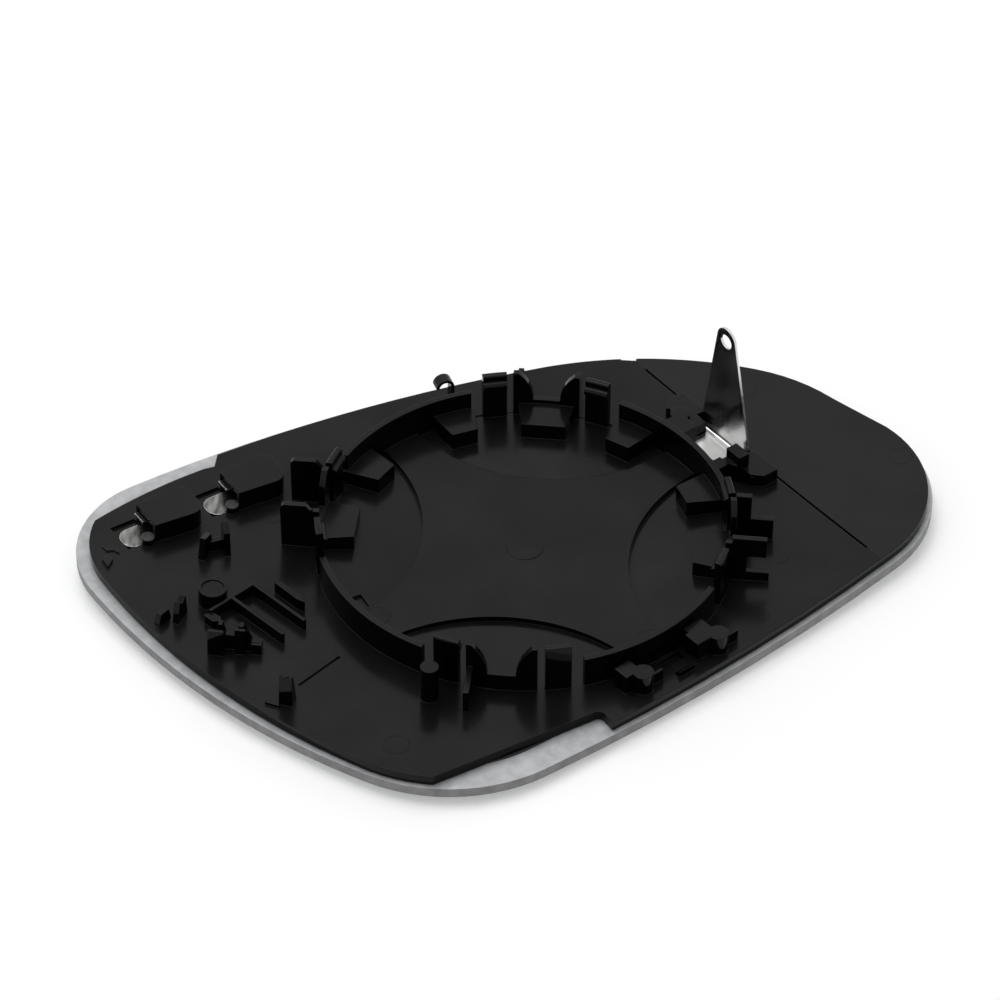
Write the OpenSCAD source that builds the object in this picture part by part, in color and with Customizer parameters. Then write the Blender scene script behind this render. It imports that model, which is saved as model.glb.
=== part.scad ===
// Heated door mirror glass, lying on its mirror face with the clip side up.
// The origin is on the axis of the clip ring, where that axis meets the top of the plate.
// +X runs along the glass towards its narrow end, +Z points away from the mirror face.

/* [Glass outline] */
// The outline is five corner arcs joined by five long side arcs, all tangent.
// Distance from the clip ring's axis to the left end of the glass
reach_left = 87; // [80:0.5:100]
// Distance from the axis to the lower end of the glass
reach_lower = 67; // [60:0.5:75]
// Distance from the axis to the right end of the glass
reach_right = 78.5; // [72:0.5:90]
// Radius of the left corner
left_r = 22; // [20:0.5:24]
// Y of the left corner's centre
left_y = -7.5; // [-12:0.5:0]
// Radius of the lower corner
lower_r = 31.5; // [29:0.5:33]
// X of the lower corner's centre
lower_x = -10.5; // [-16:0.5:-4]
// Radius of the right corner
right_r = 27; // [25:0.5:29]
// Y of the right corner's centre
right_y = 22; // [16:0.5:26]
// Radius of the upper right corner
shoulder_r = 39; // [38:0.5:40]
// Distance from the right corner's centre back to the upper right corner's centre
shoulder_back = 18; // [15:0.5:22]
// Y of the upper right corner's centre
shoulder_y = 21.5; // [18:0.5:25]
// Radius of the upper corner
upper_r = 33.5; // [32:0.5:35]
// X of the upper corner's centre
upper_x = 9.5; // [4:0.5:14]
// Y of the upper corner's centre
upper_y = 25; // [20:0.5:30]
// Radius of the side from the left to the lower corner
side_left_lower = 153; // [130:1:200]
// Radius of the side from the lower to the right corner
side_lower_right = 560; // [400:10:900]
// Radius of the side from the right to the upper right corner
side_right_shoulder = 750; // [300:10:900]
// Radius of the side from the upper right to the upper corner
side_shoulder_upper = 78; // [72:1:110]
// Radius of the side from the upper to the left corner
side_upper_left = 250; // [200:5:400]

/* [Layers] */
// Radius of the convex bend that all layers share
bend_r = 1400; // [1000:50:2200]
// Thickness of the moulded plate
plate_t = 2; // [1.7:0.1:2.6]
// Thickness of the heating film with its adhesive
film_t = 0.3; // [0.2:0.05:0.6]
// Thickness of the glass
glass_t = 2; // [1.6:0.1:3]

/* [Plate margins] */
// Bare glass outside the plate at the left corner
margin_left = 2.7; // [1:0.1:4]
// Bare glass outside the plate at the lower corner
margin_lower = 0.8; // [0.4:0.1:2]
// Bare glass outside the plate at the right corner
margin_right = 1; // [0.4:0.1:2]
// Bare glass outside the plate along the top
margin_top = 2.1; // [1:0.1:3]
// Bare glass outside the heating film, which is cut smaller than the plate
margin_film = 6; // [5.5:0.5:12]
// Bare glass beside the heater contacts, where the plate is cut back in a straight line
contact_margin = 5.4; // [3:0.1:5.4]
// X at which the margin beside the contacts ends in a step
contact_margin_to = -63.8; // [-66:0.1:-62]
// Bare glass in the cut-back part of the lower edge
cutback_margin = 4.4; // [2:0.1:5]
// X at which the cut-back part begins
cutback_from = -7; // [-10:0.5:0]
// X at which the cut-back part ends in a step
cutback_to = 16.2; // [12:0.1:20]
// Least width of the plate outside the clip ring
ring_flange = 7.6; // [7:0.1:8]
// X of the small mould notch in the top edge
notch_x = 15; // [8:0.1:20]
// Width of that notch
notch_w = 3.1; // [2:0.1:4]
// Depth of that notch
notch_depth = 0.5; // [0.3:0.1:1]

/* [Clip ring] */
// Inside radius of the ring wall, where the adjuster head fits
ring_r = 39.8; // [38.5:0.1:40.2]
// Thickness of the ring wall
ring_t = 1.2; // [1:0.1:1.6]
// Height of the ring wall over the plate
ring_h = 6.6; // [5:0.1:9]
// Half of the gap that each station leaves in the ring wall, in degrees
station_gap = 22; // [21:0.5:23]
// Height of the low wall between the fins
low_wall_h = 3.8; // [3.2:0.1:4.5]
// Height of the fins
fin_h = 10.5; // [9:0.1:12]
// Distance of a fin's outer edge from the middle of its station
fin_edge = 6.7; // [6.4:0.1:7]
// Width of a fin at its foot
fin_w = 4; // [3:0.1:4.6]
// Width of a fin at its tip
fin_tip_w = 1; // [0.5:0.1:1.4]
// Height of the flat ledges that carry the adjuster
ledge_h = 2.8; // [2.2:0.1:3.1]
// Length of the ledges from the ring wall inwards
ledge_l = 6.8; // [5:0.1:8]
// Width of a station's ledge at the ring wall
ledge_back_w = 11.8; // [10:0.1:13]
// Width of a station's ledge at its front
ledge_front_w = 8.8; // [7:0.1:9.8]
// Angle of the flank ledges from the middle of a station
flank_angle = 27.5; // [26:0.5:29]
// Width of a flank ledge at the ring wall
flank_back_w = 9; // [7:0.1:9.4]
// Width of a flank ledge at its front
flank_front_w = 5.4; // [4:0.1:6.5]

/* [Hooks] */
// Angle of each hook from the middle of its station
hook_angle = 15; // [14.5:0.1:15.5]
// Width of a hook in degrees
hook_span = 7; // [6:0.1:7.4]
// Height of a hook
hook_h = 10.4; // [9.6:0.1:12]
// Thickness of a hook's arm
hook_t = 1.4; // [1.2:0.1:1.8]
// Radius of the half-round snap bead on the arm's inner face
bead_r = 0.9; // [0.4:0.1:1.2]
// Height of the middle of the snap bead
bead_h = 8; // [7.4:0.1:8.6]

/* [Gussets] */
// Thickness of the radial gusset plates behind the stations
gusset_t = 1.1; // [0.8:0.1:1.4]
// Length of the tall gusset plates outside the ring wall
gusset_l = 6.1; // [4:0.1:8]
// Height of the tall gusset plates
gusset_h = 10.6; // [9.5:0.1:12]
// Length of the low gusset plates outside the ring wall
gusset_low_l = 6.8; // [4:0.1:8]
// Height of the low gusset plates
gusset_low_h = 5.1; // [4:0.1:6]
// Length of the tall inner part of a stepped gusset plate
gusset_step_l = 2.4; // [1.5:0.1:3.5]
// Underside of the flag on the notched gusset plate
flag_h = 6.3; // [5:0.1:7.5]
// Height of the foot of the notched gusset plate
flag_foot_h = 2.4; // [1.5:0.1:3.5]

/* [Ring floor] */
// Radius of the arc that bounds each lens-shaped recess
lens_r = 34.3; // [32:0.1:36]
// Distance from the axis to the nearest point of that arc
lens_start = 20.4; // [18:0.2:24]
// Greatest depth of the recesses
lens_depth = 1; // [0.4:0.1:1.2]
// Radius of the gate disc in the middle of the ring
gate_r = 3.65; // [2:0.05:5]

/* [Retaining spring] */
// Direction of the spring seat, in degrees from +X
spring_angle = 43.5; // [42:0.5:45]
// Distance from the ring wall to the outside of the spring's bend
spring_gap = 9.8; // [9.4:0.1:10.2]
// Thickness of the spring steel
spring_t = 0.5; // [0.4:0.05:0.6]
// Height of the blade above the plate
blade_h = 29.5; // [22:0.5:36]
// Lean of the blade towards the ring, in degrees
blade_lean = 2; // [0:0.5:4]
// Width of the blade at the bend
blade_w = 15; // [13:0.1:16]
// Radius of the round tip of the blade
blade_tip_r = 2.7; // [2.4:0.1:3.5]
// Radius of the hole near the tip
blade_hole_r = 1.6; // [1:0.1:1.9]
// Width of the foot
foot_w = 8.8; // [8:0.1:9]
// Length of the foot from its end to the outside of the bend
foot_l = 7; // [6.5:0.1:7.4]

/* [Spring seats] */
// Direction of the unused seat, in degrees from +X
spare_angle = -43.7; // [-45:0.1:-42]
// Height of the ears that hold the foot down
ear_h = 4.2; // [3.5:0.1:5]
// Distance of the outside of an ear from the middle of its seat
ear_reach = 9; // [8:0.1:9.5]
// How far the lip of an ear reaches over the foot
ear_lip = 0.8; // [0.4:0.1:1]
// Height of the raised lands beside the blade
land_h = 3; // [2:0.1:3.4]
// Distance of the outer end of a land from the middle of its seat
land_reach = 15; // [12:0.5:16]
// Width of the catch that locks the foot through its window
catch_w = 3.8; // [3:0.1:4.2]
// Width of the fine groove that runs past the seat
groove_w = 0.5; // [0.3:0.1:0.8]
// Depth of that groove
groove_depth = 0.4; // [0.2:0.1:0.8]

/* [Heater contacts] */
// Direction of the left hood from the axis, in degrees from +X
hood_left_angle = 182; // [180:0.5:186]
// Place of the left hood on the way from the ring wall to the plate's edge
hood_left_share = 0.669; // [0.6:0.005:0.75]
// Direction of the right hood from the axis, in degrees from +X
hood_right_angle = 170.1; // [166:0.1:172]
// Place of the right hood on the way from the ring wall to the plate's edge
hood_right_share = 0.472; // [0.4:0.005:0.6]
// Direction in which the contacts run, in degrees from +X
contact_angle = 41; // [39:0.5:43]
// Length of the hoods over the contacts
hood_l = 11; // [10:0.1:12]
// How much wider the hoods are behind their mouths
hood_flare = 1.7; // [0:0.1:2.5]
// Radius of the hoods' rounded far corners
hood_corner = 2.6; // [1.5:0.1:3.5]
// Height of the hoods
hood_h = 4.4; // [4:0.1:5]
// Wall thickness of the hoods
hood_t = 0.8; // [0.7:0.05:0.9]
// Depth of the pocket that a contact lies in
pocket_depth = 0.6; // [0.5:0.05:0.8]
// Width of the open part of the pocket beside the contact
pocket_room = 1.6; // [0.5:0.1:2]
// Thickness of the contact's sheet
contact_t = 0.45; // [0.3:0.05:0.5]
// Width of the contact
contact_w = 5.4; // [4.6:0.1:6]
// How far the contact reaches out of the hood
contact_reach = 5.4; // [4:0.1:6]
// Width of the leaf that the wire's plug slides on
leaf_w = 3; // [2.4:0.1:3.6]
// How far that leaf reaches out of the hood
leaf_reach = 1.2; // [0.6:0.1:1.6]
// Radius of the heat stake that holds the contact down
stake_r = 1.25; // [1:0.05:1.4]
// Height of the heat stake
stake_h = 1.5; // [1:0.1:2]

/* [Cable guides] */
// Thickness of the ribs and posts
rib_t = 1.2; // [0.9:0.1:1.5]
// Thickness of the long low ribs
comb_t = 0.7; // [0.5:0.1:1.2]
// Height of the low ribs
rib_h = 2.5; // [2:0.1:3.2]
// Length of the two long ribs
comb_l = 14.4; // [12:0.1:16]
// Distance between the two long ribs
comb_pitch = 5.6; // [5:0.1:6.5]
// Height of the forked guide
fork_h = 4.8; // [4:0.1:6]
// Height of the prongs that hold the cable down
prong_h = 6; // [5:0.1:7]
// Outside radius of the round cup
cup_r = 2.8; // [2.4:0.1:3.2]
// Height of the round cup
cup_h = 3.5; // [3:0.1:4.5]
// Radius of the round peg below the ring
peg_r = 1.75; // [1.5:0.05:2.2]
// Height of that peg
peg_h = 7.6; // [6:0.1:9]
// Outside radius of the curl of the cable hook
curl_r = 1.9; // [1.6:0.1:2.2]
// Height of the leg of the cable hook
curl_h = 4.4; // [4:0.1:6]

/* [Hidden] */

$fn = 64;
bend_facets = 180;
// Width of the bands that the bend is made of, and how far they reach
bend_step = 6;
bend_reach = 120;
// Degrees between the points of the outline's corners
corner_step = 5;
// Degrees between the points of its long sides
side_step = 1.5;
// Degrees between the points of small round corners in a side view
round_step = 15;
// Taller than any feature, for outlines that are cut out of a bent layer
tall = 40;
// Depth to which the moulded features run down into the plate
root = 1;
// Clearance between the separate pieces
gap = 0.1;

// Height of the bent plate over a point
function bend_z(p) = bend_r - sqrt(bend_r * bend_r - p.x * p.x - p.y * p.y);
ring_out = ring_r + ring_t;
spring_u = ring_out + spring_gap;
ring_z = bend_z([ring_r, 0]);

left_at = [left_r - reach_left, left_y];
lower_at = [lower_x, lower_r - reach_lower];
right_at = [reach_right - right_r, right_y];
shoulder_at = [right_at.x - shoulder_back, shoulder_y];
upper_at = [upper_x, upper_y];
corner_at = [left_at, lower_at, right_at, shoulder_at, upper_at];
corner_r = [left_r, lower_r, right_r, shoulder_r, upper_r];
side_r = [side_left_lower, side_lower_right, side_right_shoulder, side_shoulder_upper, side_upper_left];
plate_margin = [margin_left, margin_lower, margin_right, margin_top, margin_top];
count = len(corner_r);

full_turn = 360;
function heading(a, b) = atan2(b.y - a.y, b.x - a.x);
function polar(r, a) = [r * cos(a), r * sin(a)];
function arc(c, r, from, to, step) =
    let(span = (to - from + 2 * full_turn) % full_turn, n = max(1, ceil(span / step)))
    [for (k = [0:n - 1]) c + polar(r, from + span * k / n)];

// Centre of the side arc that runs from corner i to the next one, tangent to both
function side_at(i, radii) =
    let(a = corner_at[i], b = corner_at[(i + 1) % count], along = (b - a) / norm(b - a), l = norm(b - a),
        ra = side_r[i] - corner_r[i], rb = side_r[i] - corner_r[(i + 1) % count],
        x = (ra * ra - rb * rb + l * l) / (2 * l), y = sqrt(ra * ra - x * x))
    a + x * along + y * [-along.y, along.x];

// The glass outline, drawn in by a margin at each corner and by their mean along each side
function outline(margin) = [
    for (i = [0:count - 1])
    let(j = (i + 1) % count, before = side_at((i + count - 1) % count), after = side_at(i),
        c = corner_at[i], turn = heading(after, c),
        span = (heading(after, corner_at[j]) - turn + full_turn) % full_turn, n = ceil(span / side_step))
    each concat(
        arc(c, corner_r[i] - margin[i], heading(before, c), turn, corner_step),
        [for (k = [0:n - 1])
            after + polar(side_r[i] - margin[i] - (margin[j] - margin[i]) * k / n, turn + span * k / n)])];
function even(margin) = [for (i = [0:count - 1]) margin];
plate_edge = outline(plate_margin);

// Distance from the axis to the plate's edge in a direction
function edge_r(angle) =
    let(ray = polar(1, angle), n = len(plate_edge))
    [for (k = [0:n - 1])
        let(a = plate_edge[k], b = plate_edge[(k + 1) % n])
        if (cross(ray, a) <= 0 && cross(ray, b) > 0)
            cross(a, b - a) / cross(ray, b - a)][0];

// Point in a direction, at a share of the way from the ring wall to the plate's edge
function between(angle, share) = polar(ring_out + share * (edge_r(angle) - ring_out), angle);

// Height of a side arc's upper end over an x, drawn in by a margin
function side_y(i, margin, x) =
    let(c = side_at(i))
    c.y + sqrt(pow(side_r[i] - margin, 2) - pow(x - c.x, 2));

hood_places = [between(hood_left_angle, hood_left_share), between(hood_right_angle, hood_right_share)];

// Side view of a bent strip of sheet: a foot along +X, a round bend and a straight leaf
function bent_strip(foot_l, turn, leaf_l, r, t) =
    let(mid = [0, r], end = turn - 90, leaf = polar(leaf_l, turn), n = ceil(turn / 10))
    concat(
        [[-foot_l, 0]],
        arc(mid, r, -90, end, 10),
        [mid + polar(r, end), mid + polar(r, end) + leaf, mid + polar(r - t, end) + leaf],
        [for (k = [n:-1:0]) mid + polar(r - t, -90 + turn * k / n)],
        [[-foot_l, t]]);

// Top of a bent layer in side view, as straight bands narrow enough to follow the bend
function bend_line(z) = concat([[0, z + bend_z([bend_step / 2, 0])]],
    [for (r = [bend_step / 2:bend_step:bend_reach]) [r, z + bend_z([r, 0])]]);

// A layer of the bent stack, from one depth below the plate's top to another
module layer(top, thickness) {
    upper = bend_line(-top);
    lower = bend_line(-top - thickness);
    rotate_extrude($fn = bend_facets)
        polygon(concat(lower, [for (k = [len(upper) - 1:-1:0]) upper[k]]));
}

// An upright prism through all layers
module column()
    translate([0, 0, -tall / 2])
        linear_extrude(tall)
            children();

// Stands its children on the bent plate at a point, turned by an angle
module on_plate(at, angle = 0)
    translate([at.x, at.y, bend_z(at)])
        rotate([0, 0, angle])
            children();

// Stands its children square to the bent plate at a point, turned by an angle
module on_slope(at, angle = 0)
    translate([at.x, at.y, bend_z(at)])
        rotate(a = asin(norm(at) / bend_r), v = [at.y, -at.x, 0])
            rotate([0, 0, angle])
                children();

// An upright prism that is rooted in the plate
module rise(height)
    translate([0, 0, -root])
        linear_extrude(root + height)
            children();

// A straight rib between two points of a level frame
module rib(from, to, thickness, height)
    translate((from + to) / 2)
        rotate([0, 0, heading(from, to)])
            rise(height)
                square([norm(to - from), thickness], center = true);

// A standing plate with the given side view, centred across its thickness
module standing_plate(side_view, thickness)
    rotate([90, 0, 0])
        linear_extrude(thickness, center = true)
            polygon(side_view);

// A piece of ring between two angles, from the plate up to a height
module ring_arc(inner, outer, from, to, height)
    translate([0, 0, ring_z - root])
        rotate([0, 0, from])
            rotate_extrude(angle = to - from)
                translate([inner, 0])
                    square([outer - inner, root + height]);

// Mirror glass
module mirror_glass()
    color([0.72, 0.76, 0.78])
        intersection() {
            layer(plate_t + film_t, glass_t);
            column()
                polygon(outline(even(0)));
        }

// Heating film with its adhesive, between the glass and the plate
module heater_pad()
    color([0.25, 0.25, 0.27])
        intersection() {
            layer(plate_t, film_t);
            column()
                polygon(outline(even(margin_film)));
        }

// The plate's outline, with its cut-backs and its mould notch
module plate_outline() {
    difference() {
        polygon(plate_edge);
        contact_cutback();
        intersection() {
            difference() {
                square(2 * max(-left_at.x, right_at.x) + 4 * left_r, center = true);
                polygon(outline(even(cutback_margin)));
            }
            cutback_zone();
        }
        translate([notch_x, side_y(3, margin_top, notch_x)])
            square([notch_w, 2 * notch_depth], center = true);
    }
    circle(ring_out + ring_flange, $fn = bend_facets);
}

// Where the plate is cut back beside the contacts: straight from a step to the left corner
module contact_cutback() {
    step = [contact_margin_to, side_y(4, contact_margin, contact_margin_to)];
    r = left_r - margin_left;
    turn = heading(left_at, step) + acos(r / norm(step - left_at));
    polygon([left_at + polar(r, turn), step, step + [0, left_r], left_at + polar(2 * left_r, turn)]);
}

// Where the lower edge is cut back: a slanting start and a square step at the end
module cutback_zone() {
    edge_y = lower_at.y - lower_r;
    polygon([[cutback_from, edge_y], [cutback_to, edge_y], [cutback_to, lower_at.y],
             [0, lower_at.y], [0, edge_y + 1.5 * cutback_margin]]);
}

// Lens-shaped recess in the ring floor, deepest at its inner arc
module lens_recess() {
    slope = atan((lens_depth + ring_z - gate_h) / (ring_r - lens_start));
    intersection() {
        translate([lens_start + lens_r, 0, -lens_depth])
            cylinder(r = lens_r, h = tall);
        translate([0, 0, -lens_depth])
            cylinder(r = ring_r + ring_t / 2, h = tall);
        translate([lens_start, -ring_r, -lens_depth])
            rotate([0, -slope, 0])
                cube([2 * ring_r, 2 * ring_r, tall]);
    }
}

// The plain bent plate with everything that is sunk into its top
module bare_plate()
    difference() {
        intersection() {
            layer(0, plate_t);
            column()
                plate_outline();
        }
        for (side = [0:3])
            rotate([0, 0, 90 * side])
                lens_recess();
        seat_groove();
        for (seat = [spring_angle, spare_angle])
            rotate([0, 0, seat])
                seat_slot();
        scored_line();
        floor_window();
    }

// Small sunk window in the ring floor, close to the wall
module floor_window()
    on_slope(polar(ring_r - window_inset, window_angle), window_turn)
        translate([0, 0, -window_depth])
            linear_extrude(tall)
                square(window_size, center = true);
window_inset = 4.2;
window_angle = -147.6;
window_turn = 36;
window_size = [2.8, 3.6];
window_depth = 1.3;

// Fine groove across the plate behind the spring seat
module seat_groove()
    rotate([0, 0, spring_angle])
        translate([groove_u, 0, bend_z([groove_u, 0]) - groove_depth])
            linear_extrude(tall)
                translate([0, (groove_from + groove_to) / 2])
                    square([groove_w, groove_to - groove_from], center = true);
groove_u = spring_u + 1.1;
groove_from = -41.5;
groove_to = 27.5;

// Short scored line that runs outwards beside the ring
module scored_line()
    on_slope(polar(ring_out + score_gap, score_angle), score_heading)
        translate([0, -groove_w / 2, -groove_depth])
            cube([score_l, groove_w, tall]);
score_gap = 6.4;
score_angle = -131.3;
score_heading = -125.2;
score_l = 11.1;

// One wall section with two fins, between the hooks of a station
module fins() {
    half = fin_view();
    intersection() {
        ring_arc(ring_r, ring_out, -station_gap, station_gap, fin_h);
        translate([0, 0, ring_z])
            rotate([90, 0, 90])
                linear_extrude(tall * 2)
                    polygon(concat(half, [for (k = [len(half) - 1:-1:0]) [-half[k].x, half[k].y]]));
    }
}

// Side view of one fin: an upright outer edge, and an inner edge that bows over to the tip
function fin_view() =
    let(foot = fin_edge - fin_w, run = fin_w - fin_tip_w, drop = fin_h - low_wall_h,
        r = (run * run + drop * drop) / (2 * run))
    concat([[fin_edge, -root], [fin_edge, fin_h]],
        arc([foot + r, low_wall_h], r, 180 - asin(drop / r), 180, round_step / 2),
        [[foot, low_wall_h]]);

// Snap hook: a springy arm with a half-round bead on its inner face
module hook(at) {
    arm = ring_out - hook_t;
    top = ring_z + hook_h;
    corner = hook_t / 3;
    bead = [arm, ring_z + bead_h];
    rotate([0, 0, at - hook_span / 2])
        rotate_extrude(angle = hook_span)
            polygon(concat(
                [[arm, ring_z - root], [ring_out, ring_z - root]],
                arc([ring_out - corner, top - corner], corner, 0, 90, round_step),
                arc([arm + corner, top - corner], corner, 90, 180, round_step),
                [[arm, top - corner]],
                arc(bead, bead_r, 90, 270, round_step),
                [bead - [0, bead_r]]));
}

// Flat ledge that reaches inwards from the ring wall
module ledge(back_w, front_w)
    translate([0, 0, ring_z])
        rise(ledge_h)
            polygon([[ring_r + ring_t / 2, back_w / 2], [ring_r - ledge_l, front_w / 2],
                     [ring_r - ledge_l, -front_w / 2], [ring_r + ring_t / 2, -back_w / 2]]);

// Side views of the gusset plates, from inside the ring wall outwards
gusset_from = ring_r + ring_t / 2;
gusset_to = ring_out + gusset_l;
gusset_low_to = ring_out + gusset_low_l;
gusset_step_to = ring_out + gusset_step_l;
function tall_gusset() =
    concat([[gusset_from, -root], [gusset_to, -root]],
        arc([gusset_to - gusset_t, gusset_h - gusset_t], gusset_t, 0, 90, round_step),
        [[ring_out + gusset_t, gusset_h], [gusset_from, gusset_h - 2 * gusset_t]]);
function low_gusset() = [[gusset_from, -root], [gusset_low_to, -root], [gusset_low_to, gusset_low_h],
    [gusset_from, gusset_low_h]];
function stepped_gusset() = [[gusset_from, -root], [gusset_low_to, -root], [gusset_low_to, gusset_low_h],
    [gusset_step_to, gusset_low_h], [gusset_step_to, gusset_h], [gusset_from, gusset_h]];
function notched_gusset() = [[gusset_from, -root], [gusset_low_to, -root], [gusset_low_to, flag_foot_h],
    [gusset_step_to, flag_foot_h], [gusset_step_to, flag_h], [gusset_to, flag_h],
    [gusset_to, gusset_h], [gusset_from, gusset_h]];

module gusset(side_view, offset)
    translate([0, offset, ring_z])
        standing_plate(side_view, gusset_t);

// One of the four stations: fins, two hooks and the ledge in front of them
module station() {
    fins();
    hook(hook_angle);
    hook(-hook_angle);
    ledge(ledge_back_w, ledge_front_w);
}

// The clip ring with its four stations and their gusset plates
module clip_ring() {
    for (quarter = [0:3])
        rotate([0, 0, 90 * quarter]) {
            ring_arc(ring_r, ring_out, station_gap, 90 - station_gap, ring_h);
            station();
        }
    for (flank = [flank_angle, 90 - flank_angle, 90 + flank_angle, 180 - flank_angle])
        rotate([0, 0, flank])
            ledge(flank_back_w, flank_front_w);
    gusset(stepped_gusset(), gusset_east);
    gusset(notched_gusset(), -gusset_near);
    rotate([0, 0, 90]) {
        gusset(low_gusset(), gusset_far);
        gusset(low_gusset(), -gusset_far);
    }
    rotate([0, 0, 180]) {
        gusset(tall_gusset(), gusset_near);
        gusset(tall_gusset(), -gusset_west);
    }
    rotate([0, 0, 270])
        gusset(low_gusset(), -gusset_far);
    rise(gate_h)
        circle(gate_r);
}
// Distances of the gusset plates from the middles of their stations
gusset_near = 4.9;
gusset_far = 5.9;
gusset_east = 7.4;
gusset_west = 8.3;
gate_h = 0.15;

// Slot in the plate under the end of the spring's foot
module seat_slot()
    translate([slot_u, 0, bend_z([slot_u, 0]) - slot_depth])
        linear_extrude(tall)
            square([slot_l, slot_w], center = true);
slot_u = ring_out + 1.6;
slot_l = 2;
slot_w = 5.2;
slot_depth = 0.8;

// Ear of a spring seat: a block at the ring, a lip that reaches over the foot, a post and a short rib
module ear() {
    foot_side = foot_w / 2 + gap;
    lip_h = foot_z + spring_t + gap / 2 - bend_z([seat_u, 0]);
    on_plate([seat_u, 0]) {
        rise(ear_h)
            translate([ring_out - gap - seat_u, foot_side])
                square([seat_u - ring_out + gap, ear_reach - foot_side]);
        translate([ear_lip_from - seat_u, foot_side - ear_lip, lip_h])
            cube([seat_u - ear_lip_from, ear_lip + gap, ear_h - lip_h]);
        translate([0, ear_reach])
            ear_post();
    }
}

// Round post of an ear, with the short rib that stiffens it
module ear_post() {
    rise(ear_h)
        circle(ear_post_r);
    rise(rib_h)
        translate([0, ear_post_r / 2])
            square([rib_t / 2, rib_h + ear_post_r / 2]);
}

// Catch that stands up through the window of the spring's foot
module catch()
    on_plate([catch_u, 0])
        standing_plate([[-catch_l / 2, -root], [catch_l / 2, -root],
                        [catch_l / 2, catch_h], [-catch_l / 2, gap]], catch_w);

// The seat that carries the spring, in its own frame
module used_seat() {
    for (side = [0, 1])
        mirror([0, side, 0])
            ear();
    catch();
}

// The unused seat: one ear with a lip, and on its other side a plain block with its post
module spare_seat() {
    ear();
    catch();
    on_plate([seat_u, -ear_reach]) {
        rise(ear_h)
            translate([ring_out - gap - seat_u, -plain_ear_w])
                square([plain_ear_l, plain_ear_w]);
        translate([plain_post_back, 0])
            ear_post();
    }
}
seat_u = ring_out + 5;
ear_post_r = 2;
ear_lip_from = ring_out + 1.4;
// Length and width of the plain block, and how far its post stands back
plain_ear_l = 3.4;
plain_ear_w = 3.6;
plain_post_back = -1;
catch_u = ring_out + 5.6;
catch_l = 1.5;
catch_h = 1.4;
// Underside of the spring's foot
foot_z = bend_z([spring_u, 0]) + gap / 2;

// Raised lands on both sides of the spring's blade
module lands() {
    foot_side = foot_w / 2 + 2 * gap;
    for (side = [0, 1])
        mirror([0, side, 0])
            on_plate([seat_u, 0])
                rise(land_h)
                    polygon([[0, foot_side], [land_front, foot_side], [land_front, blade_w / 2 + 2 * gap],
                             [groove_u - groove_w - seat_u, blade_w / 2 + 2 * gap],
                             [groove_u - groove_w - seat_u, land_reach], [ear_post_r, land_reach],
                             [0, land_reach - ear_post_r]]);
    on_plate([seat_u, -ear_reach])
        rise(lug_h)
            square([rib_h, ear_post_r * 2], center = true);
}
land_front = 3.2;
lug_h = 6.4;

// Pocket for one contact, in the hood's frame, wider on one side outside the hood
module contact_pocket()
    translate([-hood_l / 2 - contact_reach - gap, -contact_w / 2 - gap, -pocket_depth])
        cube([contact_reach + gap, contact_w + 2 * gap + pocket_room, tall]);

// Space under one hood, open towards the pocket's mouth
module hood_space()
    translate([0, 0, -pocket_depth])
        linear_extrude(pocket_depth + hood_h - hood_t)
            hood_shape(hood_t);

// Hood outline: a narrow mouth and a wider far end with round corners, drawn in by an inset
module hood_shape(inset) {
    corner = hood_corner - inset;
    mouth = hood_mouth_w / 2 - inset;
    far = [hood_l / 2 - hood_corner, hood_mouth_w / 2 + hood_flare / 2 - hood_corner];
    polygon(concat(
        [[-hood_l / 2 - inset, mouth], [-hood_l / 2 - inset, -mouth]],
        arc([far.x, -far.y], corner, 270, 0, round_step),
        [[far.x + corner, -far.y]],
        arc(far, corner, 0, 90, round_step),
        [far + [0, corner]]));
}
hood_mouth_w = contact_w + 2 * (gap + hood_t);

// Heat stake that is melted down beside the contact
module stake()
    translate(stake_at)
        difference() {
            rise(stake_h)
                circle(stake_r);
            translate([0, 0, stake_h - stake_dish])
                cylinder(r = stake_r - stake_rim, h = tall);
        }
// How far the stake stands over the strip's edge, which is notched for it
stake_bite = 1;
stake_at = [-hood_l / 2 - stake_r, stake_bite - contact_w / 2 - stake_r];
// Depth of the dish in the stake's top, and the width of the rim around it
stake_dish = 0.25;
stake_rim = 0.45;

// Heater contact in the hood's frame: a strip with a round end, folded back under the hood to a leaf
module contact() {
    bend_at = hood_l / 2 - hood_corner;
    leaf_l = bend_at + hood_l / 2 + leaf_reach;
    leaf_rise = hood_h - hood_t - leaf_room + pocket_depth - 2 * contact_bend_r;
    side_view = bent_strip(bend_at + hood_l / 2 + contact_reach, 180 - asin(leaf_rise / leaf_l), leaf_l,
                           contact_bend_r, contact_t);
    translate([0, 0, gap / 4 - pocket_depth])
        difference() {
            intersection() {
                translate([bend_at, 0])
                    rotate([90, 0, 0])
                        linear_extrude(2 * contact_w, center = true)
                            polygon(side_view);
                union() {
                    translate([0, 0, -gap])
                        linear_extrude(gap + contact_bend_r)
                            contact_outline(bend_at + 2 * contact_bend_r);
                    translate([-hood_l, contact_w / 2 - leaf_w, contact_bend_r - gap])
                        cube([2 * hood_l, leaf_w, tall]);
                }
            }
            translate(stake_at)
                translate([0, 0, -gap])
                    cylinder(r = stake_r + gap, h = contact_bend_r);
        }
}
contact_bend_r = 1.15;
// Straight part of the strip's round outer end
contact_flat = 0.6;
// Free height between the leaf's end and the roof of the hood
leaf_room = 0.4;

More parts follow.
